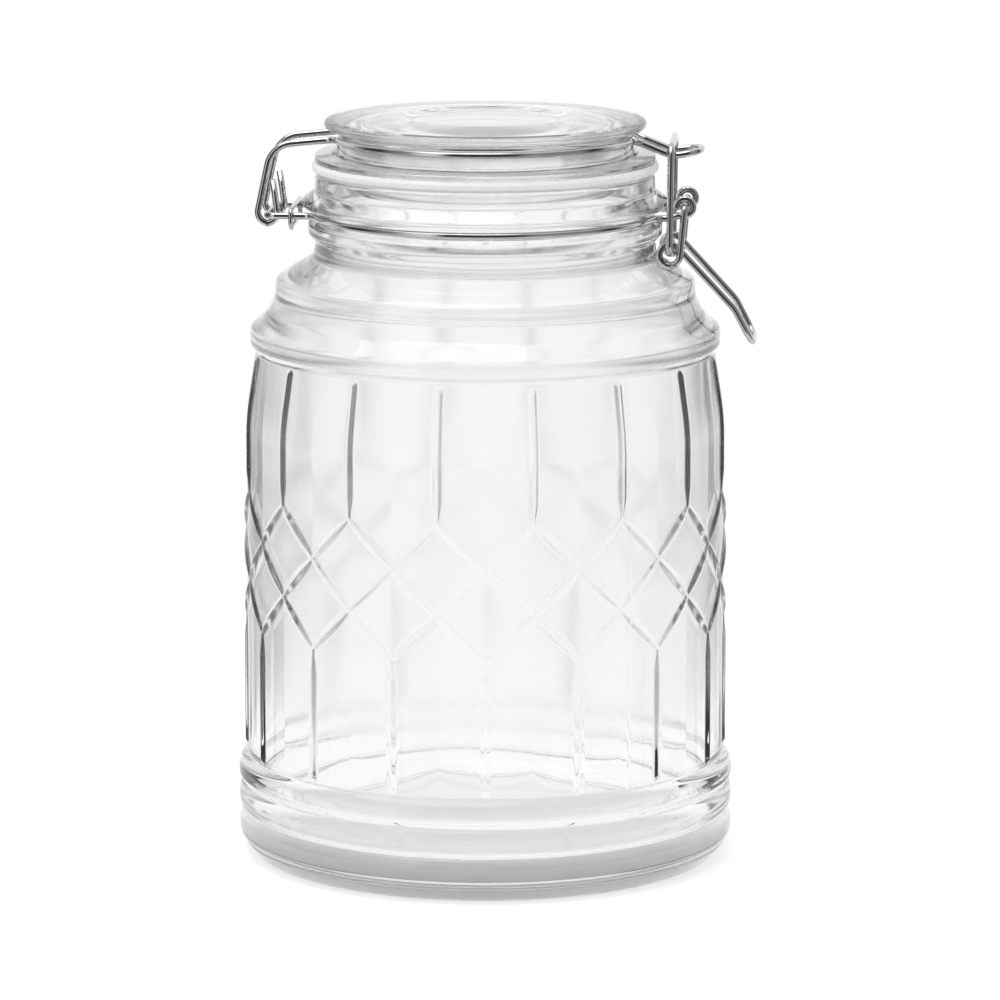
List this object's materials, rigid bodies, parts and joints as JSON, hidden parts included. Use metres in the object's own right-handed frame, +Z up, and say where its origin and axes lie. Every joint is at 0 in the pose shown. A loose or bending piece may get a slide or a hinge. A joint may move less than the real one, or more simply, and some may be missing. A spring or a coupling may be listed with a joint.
{
  "type": "lidded glass canister",
  "caption": "Clip-top glass canister with a raised diamond lattice, a hinged glass lid on a gasket and a spring-wire toggle latch.",
  "frame": {"origin": "centre of the foot, on the surface that the jar stands on", "axes": "+Z up along the jar's axis, +X towards the latch, -X towards the hinge"},
  "size_m": [0.1543, 0.1476, 0.2213],
  "materials": {
    "clear_glass": "clear moulded",
    "silicone": "translucent matt",
    "steel_wire": "bright drawn wire"
  },
  "bodies": {
    "jar": {"glass_jar": "clear_glass", "neck_wire": "steel_wire", "keeper_ring": "steel_wire"},
    "lid": {"glass_lid": "clear_glass", "gasket": "silicone", "lid_wire": "steel_wire"},
    "lever": {"lever": "steel_wire"},
    "link": {"latch_link": "steel_wire"}
  },
  "joints": [
    {"name": "lid_hinge", "type": "hinge", "parent": "jar", "child": "lid", "pos_m": [-0.0638, 0, 0.1926], "axis": [0, -1, 0], "range_deg": [0, 105]},
    {"name": "lever_swing", "type": "hinge", "parent": "jar", "child": "lever", "pos_m": [0.0594, 0, 0.196], "axis": [0, -1, 0], "range_deg": [0, 110]},
    {"name": "link_swing", "type": "hinge", "parent": "lever", "child": "link", "pos_m": [0.0551, 0, 0.1826], "axis": [0, -1, 0], "range_deg": [-100, 0]}
  ],
  "couplings": [
    {"joint": "link_swing", "follows": "lever_swing", "ratio": -0.9}
  ]
}
